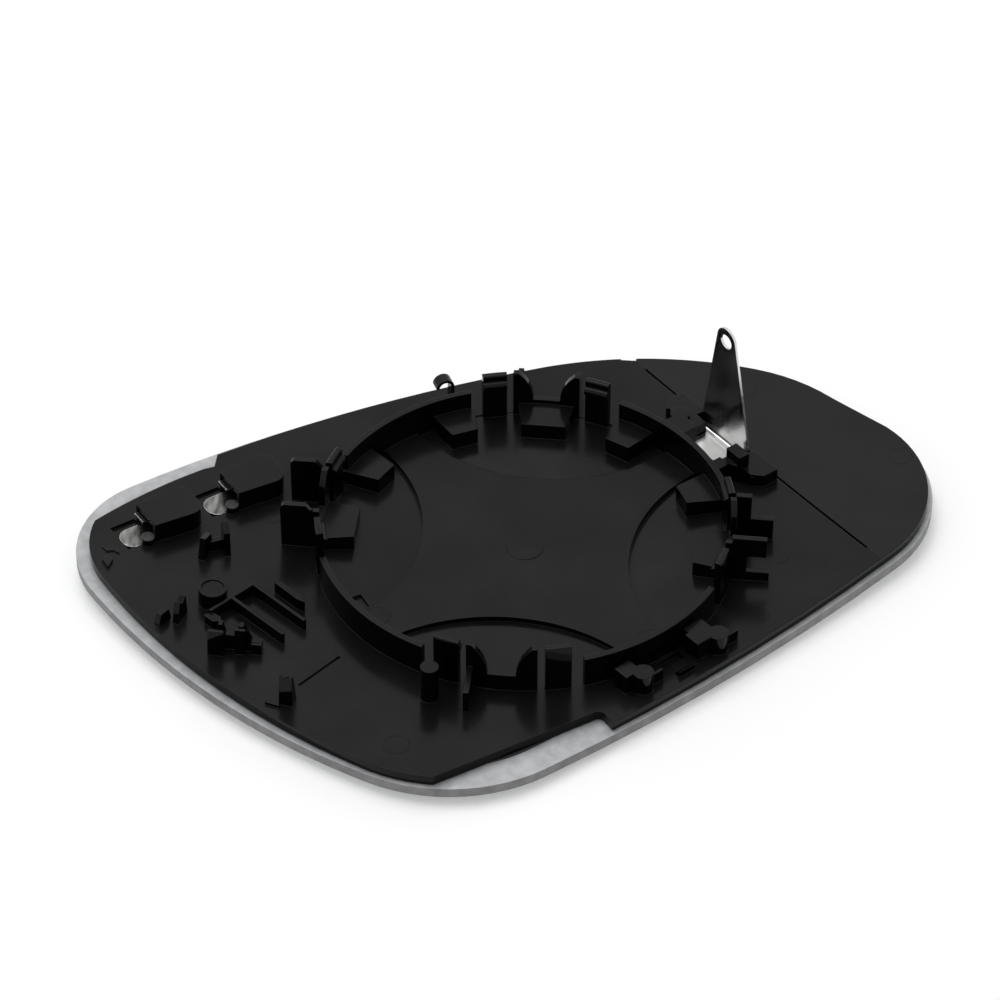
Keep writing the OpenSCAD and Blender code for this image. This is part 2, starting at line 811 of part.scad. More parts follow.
// Outline of the contact's strip from above, round at its outer end
module contact_outline(inner_end) {
    outer = -hood_l / 2 - contact_reach;
    corner = contact_w / 2 - contact_flat / 2;
    side = contact_w / 2 - corner;
    polygon(concat(
        [[inner_end, -contact_w / 2], [inner_end, contact_w / 2]],
        arc([outer + corner, side], corner, 90, 180, 10),
        [[outer, side]],
        arc([outer + corner, -side], corner, 180, 270, 10),
        [[outer + corner, -contact_w / 2]]));
}

module heater_contact_left()
    color([0.85, 0.86, 0.86])
        on_slope(hood_places[0], contact_angle)
            contact();

module heater_contact_right()
    color([0.85, 0.86, 0.86])
        on_slope(hood_places[1], contact_angle)
            contact();

// Cable post: a thin plate that tapers upwards, its top slanted or notched
module post(at, angle, base_w, top_w, height, slant, notch)
    translate(at)
        rotate([0, 0, angle])
            standing_plate([[-base_w / 2, -root], [base_w / 2, -root], [top_w / 2, height + slant],
                            [0, height + slant / 2 - notch], [-top_w / 2, height]], rib_t);

// Prong: a block with an upright front whose back slopes up to a thin top
module prong(at, angle, width, depth, height)
    translate(at)
        rotate([0, 0, angle])
            standing_plate([[0, -root], [depth, -root], [rib_t / 2, height], [0, height]], width);

// Forked guide: two legs with a bar between them
module fork() {
    post([-1.8, -1], 75, 5, 2.6, fork_h, -0.6, 0);
    post([1.8, 1], 110, 5.4, 2.4, fork_h, 1.2, 0);
    rib([-1.6, -0.2], [1.6, 1.4], rib_t, rib_h);
}

// Round peg that is slightly hollow on top
module cup()
    difference() {
        rise(cup_h)
            circle(cup_r);
        translate([0, 0, cup_h - rib_t / 2])
            cylinder(r = cup_r - rib_t / 2, h = tall);
    }

// Comb: a cross rib with two long ribs
module comb() {
    rib([0, -comb_pitch], [0, comb_pitch + comb_t / 2], comb_t, rib_h);
    for (row = [0, 1])
        rib([0, row * comb_pitch], [comb_l, row * comb_pitch], comb_t, rib_h);
}

// Wedge beside the ring
module wedge()
    rise(rib_h)
        polygon([[-3.1, 1.8], [-1.7, 2.3], [2.5, -0.7], [3.5, -2.9], [1.8, -2.2]]);

// Pronged clip: two prongs joined by a wall that slopes down to a low block
module pronged_clip() {
    saddle_h = prong_h - 2 * rib_t;
    standing_plate([[-4.6, -root], [5.2, -root], [5.2, rib_h], [3.2, rib_h], [1.6, prong_h], [0.8, prong_h],
                    [0, saddle_h], [-1.8, saddle_h], [-2.4, prong_h], [-3.2, prong_h]], rib_t);
    prong([-3.4, -2.8], 90, 3, 4, prong_h);
    prong([1.1, -1.8], 90, 2, 2.6, prong_h);
    prong([4.2, -1.4], 90, 2, 2.4, rib_h);
}

// Low block between the comb and the pronged clip
module low_block()
    rise(rib_h - rib_t / 2)
        polygon([[-1.7, 0.6], [-0.2, 1.5], [1.6, 0.3], [1.7, -0.7], [0.3, -1.2], [-1.5, 0.1]]);

// Edge clip: a low post and a taller notched one
module edge_clip() {
    post([-1.5, -0.7], 60, 4.2, 2.2, rib_h, 0, 0);
    post([1.6, 0.8], 75, 4.4, 2.6, fork_h, 0, 1);
}

// Corner post with a notched top and a fine rib beside its foot
module corner_post() {
    difference() {
        prong([0, -1], 80, 2.6, 2.8, prong_h + rib_t);
        translate([0, 0, prong_h + rib_t])
            rotate([0, 45, -10])
                cube([rib_t, 6 * rib_t, rib_t], center = true);
    }
    rib([-3.8, -0.9], [-1, -1.6], rib_t / 2, rib_t / 2);
}

// Moulded wave and block near the left end
module edge_marks() {
    wave = [[-1.6, 1], [-0.6, 0], [0.7, 0.5], [1.8, -0.2]];
    for (k = [0:len(wave) - 2])
        rib(wave[k], wave[k + 1], comb_t / 2, comb_t / 2);
    rise(comb_t)
        polygon([[-1, -3], [-0.5, -1.8], [1.1, -2.7], [0.6, -5.1]]);
}

// Cable hook: an upright leg whose top curls over towards +X
module cable_hook() {
    top = [0, curl_h];
    inner = curl_r - rib_t / 2;
    standing_plate(concat(
        [[-curl_r, -root], [-inner, -root]],
        [for (turn = [180:-round_step:0]) top + polar(inner, turn)],
        arc(top, curl_r, 0, 180, round_step),
        [top - [curl_r, 0]]), rib_t * 2);
}

// Ribs, posts and pegs that guide the cables outside the ring
module cable_guides() {
    on_slope(between(-171.2, 0.44))
        fork();
    on_slope(between(-157.7, 0.585))
        cup();
    on_slope(between(-155.4, 0.516), -37.7)
        comb();
    on_slope(polar(ring_out + 7.1, -153.9))
        wedge();
    on_slope(between(-144.8, 0.7))
        pronged_clip();
    on_slope(between(-151.8, 0.69))
        low_block();
    on_slope(between(-155, 0.863))
        edge_clip();
    on_slope(between(-128.4, 0.825))
        corner_post();
    on_slope(between(-170.7, 0.912))
        edge_marks();
    on_slope(polar(ring_out + 5.4, -106.4))
        rise(peg_h)
            circle(peg_r);
    on_slope(polar(ring_out + 5.6, 117), -153)
        cable_hook();
}

// Moulded backing plate, with the space of each contact kept free of everything that stands on it
module backing_plate()
    color([0.11, 0.11, 0.11]) {
        difference() {
            moulding();
            for (at = hood_places)
                on_slope(at, contact_angle) {
                    contact_pocket();
                    hood_space();
                }
        }
        for (at = hood_places)
            on_slope(at, contact_angle)
                stake();
    }

module moulding() {
    bare_plate();
    clip_ring();
    rotate([0, 0, spring_angle]) {
        used_seat();
        lands();
    }
    rotate([0, 0, spare_angle])
        spare_seat();
    for (at = hood_places)
        on_slope(at, contact_angle)
            rise(hood_h)
                hood_shape(0);
    cable_guides();
}

// Outline of the spring's blade above its bend, seen along the radius
module blade_outline() {
    tip = [0, blade_h - spring_bend_r - blade_tip_r];
    half = blade_w / 2;
    side = atan2(tip.y, -half) - asin(blade_tip_r / norm([half, tip.y]));
    difference() {
        polygon(concat(
            [[-half, -spring_t], [half, -spring_t], [half, 0]],
            arc(tip, blade_tip_r, side - 90, 270 - side, 6),
            [tip + polar(blade_tip_r, 270 - side), [-half, 0]]));
        translate([0, tip.y + blade_tip_r - blade_hole_at])
            circle(blade_hole_r);
    }
}
blade_hole_at = 3.1;

// Outline of the spring's foot from above, flaring out to the full width of the bend
module foot_outline() {
    flare = 3 * spring_t;
    polygon([[-foot_l, -foot_w / 2], [-flare, -foot_w / 2], [-2 * spring_t, -blade_w / 2],
             [spring_t, -blade_w / 2], [spring_t, blade_w / 2], [-2 * spring_t, blade_w / 2],
             [-flare, foot_w / 2], [-foot_l, foot_w / 2]]);
}

// Retaining spring: a flat foot, a rounded bend and an upright blade
module retaining_spring()
    color([0.82, 0.82, 0.8])
        rotate([0, 0, spring_angle])
            translate([spring_u, 0, foot_z])
                difference() {
                    intersection() {
                        translate([-spring_bend_r, 0])
                            rotate([90, 0, 0])
                                linear_extrude(2 * blade_w, center = true)
                                    polygon(bent_strip(foot_l - spring_bend_r, 90 + blade_lean, blade_h,
                                                       spring_bend_r, spring_t));
                        union() {
                            translate([0, 0, -gap])
                                linear_extrude(gap + spring_bend_r)
                                    foot_outline();
                            translate([-spring_bend_r, 0, spring_bend_r])
                                rotate([0, -blade_lean, 0])
                                    rotate([90, 0, 90])
                                        linear_extrude(2 * spring_bend_r)
                                            blade_outline();
                        }
                    }
                    translate([catch_u - spring_u - catch_l / 2 - 2 * gap, -catch_w / 2 - 2 * gap, -gap])
                        cube([catch_l + 4 * gap, catch_w + 4 * gap, 2 * spring_t]);
                }
// Outside radius of the bend
spring_bend_r = 2 * spring_t;

mirror_glass();
heater_pad();
backing_plate();
heater_contact_left();
heater_contact_right();
retaining_spring();
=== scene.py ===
# %% [markdown]
# # A car door mirror glass, seen from its back
#
# The object is a sheet of mirror glass lying on its mirror face. Behind it, and so on top here,
# sits a black moulded plate with a round clip ring. The solids come from the CAD model. This
# lesson gives them their finishes, cuts the plate back where the real one stops short, adds the
# small marks that the moulding tool left, and sets up a plain studio.

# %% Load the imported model
import bpy
import math
from mathutils import Matrix, Vector


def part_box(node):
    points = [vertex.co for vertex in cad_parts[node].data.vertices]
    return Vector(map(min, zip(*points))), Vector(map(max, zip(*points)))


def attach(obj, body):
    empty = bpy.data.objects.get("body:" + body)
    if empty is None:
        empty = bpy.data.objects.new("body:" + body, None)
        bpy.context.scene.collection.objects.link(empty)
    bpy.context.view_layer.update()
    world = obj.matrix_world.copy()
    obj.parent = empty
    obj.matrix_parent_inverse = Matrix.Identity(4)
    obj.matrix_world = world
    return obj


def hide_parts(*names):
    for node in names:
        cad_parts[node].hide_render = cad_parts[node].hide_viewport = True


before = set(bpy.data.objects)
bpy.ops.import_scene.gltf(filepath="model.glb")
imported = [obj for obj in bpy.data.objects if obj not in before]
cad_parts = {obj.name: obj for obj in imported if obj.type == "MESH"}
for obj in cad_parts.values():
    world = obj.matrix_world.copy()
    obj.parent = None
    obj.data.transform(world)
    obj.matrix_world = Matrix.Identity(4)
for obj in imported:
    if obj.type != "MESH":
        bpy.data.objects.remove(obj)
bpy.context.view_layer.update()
glass_low, glass_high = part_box("mirror_glass")
print("nodes:", sorted(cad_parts))
print("glass from", tuple(glass_low), "to", tuple(glass_high))

# %% [markdown]
# ## Sizes that the looks share
#
# Blender works in metres and the drawing of a mirror glass is in millimetres, so one factor turns
# the one into the other. The layers of the glass are bent to a large radius. Everything that is
# laid on the plate needs the height of that bend, so it becomes a small function.

# %% Shared sizes
MM = 0.001
BEND_RADIUS = 1400 * MM
SPRING_ANGLE = math.radians(43.5)


def bend_height(x, y):
    """Height of the plate's bent top over a point, in metres."""
    return BEND_RADIUS - math.sqrt(BEND_RADIUS ** 2 - x * x - y * y)


print("the plate's top is %.2f mm higher at its left end" % (bend_height(-80 * MM, 0) / MM))

# %% [markdown]
# ## The camera
#
# The photograph looks down on the glass at about forty degrees, nearly square to its long side,
# through a long lens, so that far and near edges are almost the same size. The camera is placed
# by the point it looks at, its distance, and two angles. That is easier to adjust than a bare
# position.

# %% Camera
LOOK_AT = Vector((-6.42, 13.32, 0)) * MM
DISTANCE = 790.27 * MM
ELEVATION = math.radians(41.18)
AZIMUTH = math.radians(6.5)

forward = Vector((-math.sin(AZIMUTH) * math.cos(ELEVATION),
                  math.cos(AZIMUTH) * math.cos(ELEVATION), -math.sin(ELEVATION)))
camera_data = bpy.data.cameras.new("camera")
camera_data.lens = 144
camera_data.sensor_width = 36
camera_data.clip_start = 0.01
camera = bpy.data.objects.new("camera", camera_data)
bpy.context.scene.collection.objects.link(camera)
camera.location = LOOK_AT - DISTANCE * forward
camera.rotation_euler = (math.pi / 2 - ELEVATION, 0, AZIMUTH)
bpy.context.scene.camera = camera
print("camera at", tuple(round(v, 4) for v in camera.location))

# %% [markdown]
# ## Material helpers
#
# Every finish here starts from the same two nodes: the Principled shader and the object's own
# coordinates, which run through a Mapping node. Object coordinates are in metres and stay fixed
# to the part, so a pattern doesn't slide when the part is turned. Helpers for these keep the
# finishes short.


# %% Material helpers
def new_finish(name, color, roughness, metallic=0.0, specular=0.5):
    """A material with one Principled shader; returns it with its node tree and that shader."""
    material = bpy.data.materials.new(name)
    material.use_nodes = True
    tree = material.node_tree
    shader = tree.nodes["Principled BSDF"]
    shader.inputs["Base Color"].default_value = (*color, 1)
    shader.inputs["Roughness"].default_value = roughness
    shader.inputs["Metallic"].default_value = metallic
    shader.inputs["Specular IOR Level"].default_value = specular
    return material, tree, shader


def place_pattern(tree, turn=0.0, stretch=(1, 1, 1)):
    """The object's coordinates, turned about Z and stretched; returns the vector output."""
    coords = tree.nodes.new("ShaderNodeTexCoord")
    mapping = tree.nodes.new("ShaderNodeMapping")
    mapping.inputs["Rotation"].default_value = (0, 0, turn)
    mapping.inputs["Scale"].default_value = stretch
    tree.links.new(coords.outputs["Object"], mapping.inputs["Vector"])
    return mapping.outputs["Vector"]


def noise(tree, vector, scale, detail):
    """A noise pattern; scale is in grains a metre."""
    node = tree.nodes.new("ShaderNodeTexNoise")
    node.inputs["Scale"].default_value = scale
    node.inputs["Detail"].default_value = detail
    tree.links.new(vector, node.inputs["Vector"])
    return node.outputs["Fac"]


def spread(tree, value, low, high, start=0.3, end=0.7):
    """Spreads a value from start..end over low..high."""
    node = tree.nodes.new("ShaderNodeMapRange")
    node.inputs["From Min"].default_value = start
    node.inputs["From Max"].default_value = end
    node.inputs["To Min"].default_value = low
    node.inputs["To Max"].default_value = high
    tree.links.new(value, node.inputs["Value"])
    return node.outputs["Result"]


def combine(tree, operation, first, second):
    """A Math node of two values, of which each is an output or a plain number."""
    node = tree.nodes.new("ShaderNodeMath")
    node.operation = operation
    for socket, value in zip(node.inputs, (first, second)):
        if isinstance(value, (int, float)):
            socket.default_value = value
        else:
            tree.links.new(value, socket)
    return node.outputs["Value"]


def blend_colors(tree, factor, first, second):
    """Goes from the first colour to the second with the factor; each is a colour or an output."""
    node = tree.nodes.new("ShaderNodeMix")
    node.data_type = "RGBA"
    tree.links.new(factor, node.inputs["Factor"])
    for socket, color in ((node.inputs["A"], first), (node.inputs["B"], second)):
        if isinstance(color, tuple):
            socket.default_value = (*color, 1)
        else:
            tree.links.new(color, socket)
    return node.outputs["Result"]


print("pattern and colour helpers ready")


# %% Helpers for the surface's direction
def facing_up(tree):
    """How far the surface looks up: 1 on a top, 0 on a wall, -1 on an underside."""
    surface = tree.nodes.new("ShaderNodeNewGeometry")
    parts = tree.nodes.new("ShaderNodeSeparateXYZ")
    tree.links.new(surface.outputs["Normal"], parts.inputs["Vector"])
    return parts.outputs["Z"]


def soft_edges(tree, radius):
    """A normal that rounds the object's edges in the shading, as a moulded edge is."""
    node = tree.nodes.new("ShaderNodeBevel")
    node.samples = 6
    node.inputs["Radius"].default_value = radius
    return node.outputs["Normal"]


def grain(tree, shader, height, depth, normal=None):
    """Feeds a height pattern into the shader as bump, on a softened normal if there is one."""
    node = tree.nodes.new("ShaderNodeBump")
    node.inputs["Strength"].default_value = 1.0
    node.inputs["Distance"].default_value = depth
    tree.links.new(height, node.inputs["Height"])
    if normal is not None:
        tree.links.new(normal, node.inputs["Normal"])
    tree.links.new(node.outputs["Normal"], shader.inputs["Normal"])


print("direction helpers ready")

# %% [markdown]
# ## Black moulded plastic
#
# The plate is black plastic from a steel tool. Its flat top is nearly smooth and mirrors the
# hooks and walls that stand on it, but a real moulding is never dead flat: it has faint flow
# waves and a fine grain. The upright walls come from polished pockets of the tool, so they are
# glossier. Their colour is also painted almost black, darker than the top's, as painted shade.
# The direction of the surface tells the two apart. Past the groove behind the spring the tool
# was spark-eroded, so the plastic is duller there. The groove is a straight line, so a
# coordinate turned square to it finds that part.

# %% Black moulded plastic
GROOVE_AT = 51.9 * MM
GROOVE_WIDTH = 0.2 * MM
# The wall colour is near black as painted shade; the top colour is the plastic's own.
PAINTED_SHADE_WALL_BLACK = (0.001, 0.001, 0.001)
TOP_BLACK = (0.0075, 0.0075, 0.0073)
PLASTIC_GRAIN = 0.02 * MM
MOULDED_EDGE = 0.22 * MM
plastic, tree, shader = new_finish("moulded_black", (0.006, 0.006, 0.006), 0.2, specular=0.13)
across = tree.nodes.new("ShaderNodeSeparateXYZ")
tree.links.new(place_pattern(tree, -SPRING_ANGLE), across.inputs["Vector"])
textured = spread(tree, across.outputs["X"], 0, 1, GROOVE_AT, GROOVE_AT + GROOVE_WIDTH)
plain = place_pattern(tree)
cloudy = noise(tree, plain, 60, 3)
fine = noise(tree, plain, 2600, 2)
flat = spread(tree, combine(tree, "ABSOLUTE", facing_up(tree), 0), 0, 1, 0.5, 0.9)
# Walls get the darker colour as painted shade, mixed with a random cloudy tone on the tops.
cloud_tone_and_wall_shade = combine(tree, "MULTIPLY", flat, spread(tree, cloudy, 0.5, 1.0))
tree.links.new(blend_colors(tree, cloud_tone_and_wall_shade, PAINTED_SHADE_WALL_BLACK, TOP_BLACK), shader.inputs["Base Color"])
gloss = spread(tree, cloudy, 0.16, 0.24)
dull = combine(tree, "MULTIPLY", textured, 0.2)
polish = spread(tree, flat, 0.35, 1.0, 0, 1)
tree.links.new(combine(tree, "MULTIPLY", combine(tree, "ADD", gloss, dull), polish),
               shader.inputs["Roughness"])
grain_share = spread(tree, textured, 0.1, 1.0, 0, 1)
grain(tree, shader, combine(tree, "MULTIPLY", fine, grain_share), PLASTIC_GRAIN,
      soft_edges(tree, MOULDED_EDGE))
print("made", plastic.name)

# %% [markdown]
# ## Pressed plastic
#
# Each contact is held by a stake of the same plastic, whose head was melted flat. A melted head
# is greyer and duller than the moulding around it, with small pits. Its edge is sharp, as that
# of the folded metal strips is, so both share one small rounding.

# %% Pressed plastic
SHARP_EDGE = 0.08 * MM
pressed, tree, shader = new_finish("pressed_plastic", (0.03, 0.03, 0.03), 0.45, specular=0.3)
pits = noise(tree, place_pattern(tree), 1500, 3)
tree.links.new(blend_colors(tree, spread(tree, pits, 0, 1), (0.018, 0.018, 0.018),
                            (0.05, 0.05, 0.049)), shader.inputs["Base Color"])
grain(tree, shader, pits, 0.02 * MM, soft_edges(tree, SHARP_EDGE))
print("made", pressed.name)

# %% [markdown]
# ## Glass
#
# The glass has three kinds of surface. The mirror face below is silvered. The back of the
# silvering is painted grey and shows as a narrow border around the plate. The rim is ground, so
# it is matt and darker. All are on one CAD solid, and the direction of the surface tells them
# apart: it points down on the mirror face, up on the painted back and sideways on the rim.

# %% Glass
SILVER = (0.86, 0.88, 0.89)
GROUND_EDGE = 0.3 * MM
glass, tree, shader = new_finish("painted_mirror_glass", (0.4, 0.41, 0.41), 0.25)
upward = facing_up(tree)
on_back = spread(tree, upward, 0, 1, 0.4, 0.6)
on_mirror = spread(tree, upward, 1, 0, -0.6, -0.4)
on_rim = spread(tree, combine(tree, "ABSOLUTE", upward, 0), 1, 0, 0.4, 0.6)
mottle = noise(tree, place_pattern(tree), 400, 4)
mottle_share = spread(tree, mottle, 0, 1)
paint = blend_colors(tree, mottle_share, (0.38, 0.39, 0.40), (0.52, 0.53, 0.54))
rim = blend_colors(tree, mottle_share, (0.15, 0.15, 0.155), (0.24, 0.235, 0.24))
tree.links.new(blend_colors(tree, on_mirror, blend_colors(tree, on_back, rim, paint), SILVER),
               shader.inputs["Base Color"])
tree.links.new(on_mirror, shader.inputs["Metallic"])
tree.links.new(combine(tree, "ADD", spread(tree, on_mirror, 0.22, 0.02, 0, 1),
                       combine(tree, "MULTIPLY", on_rim, 0.3)), shader.inputs["Roughness"])
grain(tree, shader, mottle, 0.004 * MM, soft_edges(tree, GROUND_EDGE))
print("made", glass.name)

# %% [markdown]
# ## Heating film
#
# The film is glued between glass and plate and shows only as a dark line under the plate's edge.
# A matt dark grey with a faint weave is enough.

# %% Heating film
film, tree, shader = new_finish("heating_film", (0.03, 0.03, 0.032), 0.55)
weave = noise(tree, place_pattern(tree, stretch=(1, 4, 1)), 900, 2)
tree.links.new(spread(tree, weave, 0.45, 0.65), shader.inputs["Roughness"])
grain(tree, shader, weave, 0.01 * MM)
print("made", film.name)

# %% [markdown]
# ## Tinned contacts and spring steel
#
# Both are bare metal. The contacts are strips of tinned brass, cut and folded, so their faces
# are dull and streaked by the rolls. Their colour runs down to near black, which is a painted
# reflection of the dark hood and pocket walls, and their cut edges get a pale colour as a
# painted highlight. The Bevel node finds those edges: where the rounded normal leaves the flat
# one, an edge is near. The spring is rolled strip: fine lines run up the blade. Lines come from
# noise that is stretched far along one direction, here along Z.

# %% Tinned contacts
# Width of the painted highlight along the cut edges.
EDGE_HIGHLIGHT_WIDTH = 0.16 * MM
tin, tree, shader = new_finish("tinned_contact", (0.3, 0.3, 0.29), 0.3, metallic=1.0)
streaks = noise(tree, place_pattern(tree, 0.9, (1, 0.25, 1)), 900, 3)
# The streaks are the tin's own, but their near-black end is a painted reflection of the dark hood.
streaks_and_painted_reflection = blend_colors(tree, spread(tree, streaks, 0, 1), (0.03, 0.03, 0.029),
                          (0.24, 0.24, 0.23))
surface = tree.nodes.new("ShaderNodeNewGeometry")
near_edge = tree.nodes.new("ShaderNodeVectorMath")
near_edge.operation = "DOT_PRODUCT"
tree.links.new(soft_edges(tree, EDGE_HIGHLIGHT_WIDTH), near_edge.inputs[0])
tree.links.new(surface.outputs["Normal"], near_edge.inputs[1])
# The pale colour near each edge is a painted highlight.
painted_edge_highlight = spread(tree, near_edge.outputs["Value"], 1, 0, 0.86, 0.995)
tree.links.new(blend_colors(tree, painted_edge_highlight, streaks_and_painted_reflection, (0.8, 0.8, 0.78)),
               shader.inputs["Base Color"])
tree.links.new(spread(tree, streaks, 0.42, 0.24), shader.inputs["Roughness"])
grain(tree, shader, streaks, 0.03 * MM, soft_edges(tree, SHARP_EDGE))
print("made", tin.name)

# %% Spring steel
steel, tree, shader = new_finish("spring_steel", (0.72, 0.72, 0.71), 0.2, metallic=1.0)
lines = noise(tree, place_pattern(tree, -SPRING_ANGLE, (1, 1, 0.04)), 2500, 2)
bands = noise(tree, place_pattern(tree, -SPRING_ANGLE, (1, 1, 0.5)), 160, 2)
tree.links.new(blend_colors(tree, spread(tree, bands, 0, 1), (0.58, 0.58, 0.58),
                            (0.80, 0.80, 0.79)), shader.inputs["Base Color"])
tree.links.new(spread(tree, lines, 0.14, 0.26), shader.inputs["Roughness"])
grain(tree, shader, lines, 0.003 * MM, soft_edges(tree, SHARP_EDGE))
print("made", steel.name)

# %% Put the finishes on the CAD nodes
FINISHES = {"mirror_glass": glass, "heater_pad": film, "backing_plate": plastic,
            "heater_contact_left": tin, "heater_contact_right": tin, "retaining_spring": steel}
for name, finish in FINISHES.items():
    for material_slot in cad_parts[name].material_slots:
        material_slot.material = finish
    print(name, "is", finish.name)

# %% [markdown]
# ## Cut the plate back in two places
#
# Behind the two contacts the plate stops short of the glass, so a pale strip of its painted back
# shows up to a small step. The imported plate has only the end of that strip. Along the lower edge
# the plate stops short as well, on one straight line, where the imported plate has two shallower
# steps. A CAD node isn't changed here, so a copy of it stands in, and two pieces are cut off the
# copy. The first is a crescent: a block less a large round disc, whose rim is the plate's new
# edge. The second is a turned block with one rounded corner. A boolean is the simple way to a
# clean edge through a plate that is itself bent.


# %% Helpers for cutting
def make_block(name, place, size, turn=0.0):
    """A block turned about Z, with its place in its mesh; place and size are in metres."""
    bpy.ops.object.select_all(action="DESELECT")
    bpy.ops.mesh.primitive_cube_add(size=1, location=place, rotation=(0, 0, turn), scale=size)
    made = bpy.context.active_object
    made.name = name
    bpy.ops.object.transform_apply()
    return made


def cut_away(piece, cutter):
    """Takes one shape out of another and removes the cutter."""
    cut = piece.modifiers.new("cut", "BOOLEAN")
    cut.operation = "DIFFERENCE"
    cut.solver = "EXACT"
    cut.object = cutter
    bpy.context.view_layer.objects.active = piece
    bpy.ops.object.modifier_apply(modifier=cut.name)
    bpy.data.objects.remove(cutter)


print("cutting helpers ready")

# %% The crescent behind the contacts
STEP_AT = -63.8 * MM
EDGE_CENTER = Vector((-0.39, -68.22, 0)) * MM
EDGE_RADIUS = 105.15 * MM
crescent = make_block("crescent", (STEP_AT - 16 * MM, 11 * MM, 0), (32 * MM, 40 * MM, 12 * MM))
bpy.ops.object.select_all(action="DESELECT")
bpy.ops.mesh.primitive_cylinder_add(vertices=360, radius=EDGE_RADIUS, depth=30 * MM,
                                    location=EDGE_CENTER)
cut_away(crescent, bpy.context.active_object)
print("crescent has", len(crescent.data.polygons), "faces")

# %% The block for the lower edge
CUT_ANGLE = math.radians(37.15)
CUT_CORNER = Vector((18.5, -44.85, 0)) * MM
CUT_LENGTH = 45.8
CUT_WIDTH = 30
PAST_CORNER = 0.7
CORNER_ROUNDING = 1.2 * MM
along = Vector((math.cos(CUT_ANGLE), math.sin(CUT_ANGLE), 0))
outward = Vector((math.sin(CUT_ANGLE), -math.cos(CUT_ANGLE), 0))
middle = CUT_CORNER + along * (PAST_CORNER - CUT_LENGTH / 2) * MM + outward * CUT_WIDTH / 2 * MM
lower_cut = make_block("lower_cut", middle, (CUT_LENGTH * MM, CUT_WIDTH * MM, 12 * MM), CUT_ANGLE)
print("the lower cut is", CUT_LENGTH, "mm long")

# %% Round its inner corner
corner = CUT_CORNER + along * PAST_CORNER * MM
weights = lower_cut.data.attributes.new("bevel_weight_edge", "FLOAT", "EDGE")
for edge in lower_cut.data.edges:
    ends = [lower_cut.data.vertices[index].co for index in edge.vertices]
    if all((end.xy - corner.xy).length < 0.1 * MM for end in ends):
        weights.data[edge.index].value = 1.0
rounding = lower_cut.modifiers.new("rounding", "BEVEL")
rounding.limit_method = "WEIGHT"
rounding.width = CORNER_ROUNDING
rounding.segments = 6
bpy.ops.object.modifier_apply(modifier=rounding.name)
print("the lower cut has", len(lower_cut.data.polygons), "faces")

# %% [markdown]
# ## Clear the view of the spring's foot
#
# The spring's foot is one bright sheet from edge to edge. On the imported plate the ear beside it
# stands high enough to hide a third of it. So the ear is cut down next to the foot, and the
# small catch in the middle goes below the sheet. Both cutters are blocks turned to the spring's
# own direction.


# %% Blocks at the spring's foot
def spring_block(name, out, side, height, size):
    """A block by its distance along the spring's direction, beside it and up, all in mm."""
    turn = Matrix.Rotation(SPRING_ANGLE, 3, "Z")
    place = turn @ (Vector((out, side, height)) * MM)
    return make_block(name, place, [length * MM for length in size], SPRING_ANGLE)


ear_cut = spring_block("ear_cut", 45.05, -5.3, 5.0, (6.1, 3.4, 6.0))
catch_cut = spring_block("catch_cut", 46.6, 0, 2.3, (2.8, 4.4, 1.7))
print("blocks:", ear_cut.name, catch_cut.name)

# %% [markdown]
# ## The plate with its edges cut back
#
# A CAD node comes as loose triangles, so the copy is merged first. Its stored normals belong to
# the uncut shape and are cleared. After the cuts, faces that meet at less than ten degrees are
# shaded as one, so the bent top stays smooth and every moulded edge stays crisp.


# %% Body, slot and finish of a piece
def dress(piece, finish):
    """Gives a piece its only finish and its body."""
    piece.data.materials.clear()
    piece.data.materials.append(finish)
    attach(piece, "root")


print("a piece is finished with dress")

# %% The plate with its edges cut back
plate = bpy.data.objects.new("plate_moulding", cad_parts["backing_plate"].data.copy())
bpy.context.scene.collection.objects.link(plate)
bpy.ops.object.select_all(action="DESELECT")
plate.select_set(True)
bpy.context.view_layer.objects.active = plate
bpy.ops.object.mode_set(mode="EDIT")
bpy.ops.mesh.select_all(action="SELECT")
bpy.ops.mesh.remove_doubles(threshold=0.001 * MM)
bpy.ops.object.mode_set(mode="OBJECT")
bpy.ops.mesh.customdata_custom_splitnormals_clear()
for cutter in (crescent, lower_cut, ear_cut, catch_cut):
    cut_away(plate, cutter)
bpy.ops.object.shade_flat()
bpy.ops.object.shade_smooth_by_angle(angle=math.radians(10))
dress(plate, plastic)
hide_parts("backing_plate")
print("plate has", len(plate.data.polygons), "faces")

# %% [markdown]
# ## The sheet of the spring's foot
#
# The foot is a strip with a pressed edge: a narrow rim stands a little above its middle. The
# same is true of the marks further down, so one helper sinks a piece's top inside a rim.


# %% The sheet of the spring's foot
def sink_top(piece, rim, depth):
    """Sinks the top face of the active piece, all but a rim of the given width."""
    bpy.ops.object.mode_set(mode="EDIT")
    bpy.ops.mesh.select_all(action="DESELECT")
    bpy.ops.object.mode_set(mode="OBJECT")
    max(piece.data.polygons, key=lambda face: face.center.z).select = True
    bpy.ops.object.mode_set(mode="EDIT")
    bpy.ops.mesh.inset(thickness=rim)
    bpy.ops.mesh.extrude_region_move(TRANSFORM_OT_translate={"value": (0, 0, -depth)})
    bpy.ops.object.mode_set(mode="OBJECT")


foot = spring_block("spring_foot", 46.55, -0.35, 1.54, (5.3, 7.9, 0.12))
sink_top(foot, 0.5 * MM, 0.02 * MM)
dress(foot, steel)
print("foot sheet has", len(foot.data.polygons), "faces")

# %% [markdown]
# ## Small marks of the moulding tool
#
# Round pins push a moulding out of its tool, and each leaves a shallow ring. The melted heads of
# the two contact stakes are rings of the same kind, only smaller and higher, and so is the
# filled top of the small round post. So one helper makes a disc with a raised rim, and another
# lays it on the bent plate. The plate's top is part of a sphere, so "square to the plate" is the
# direction to the sphere's centre.


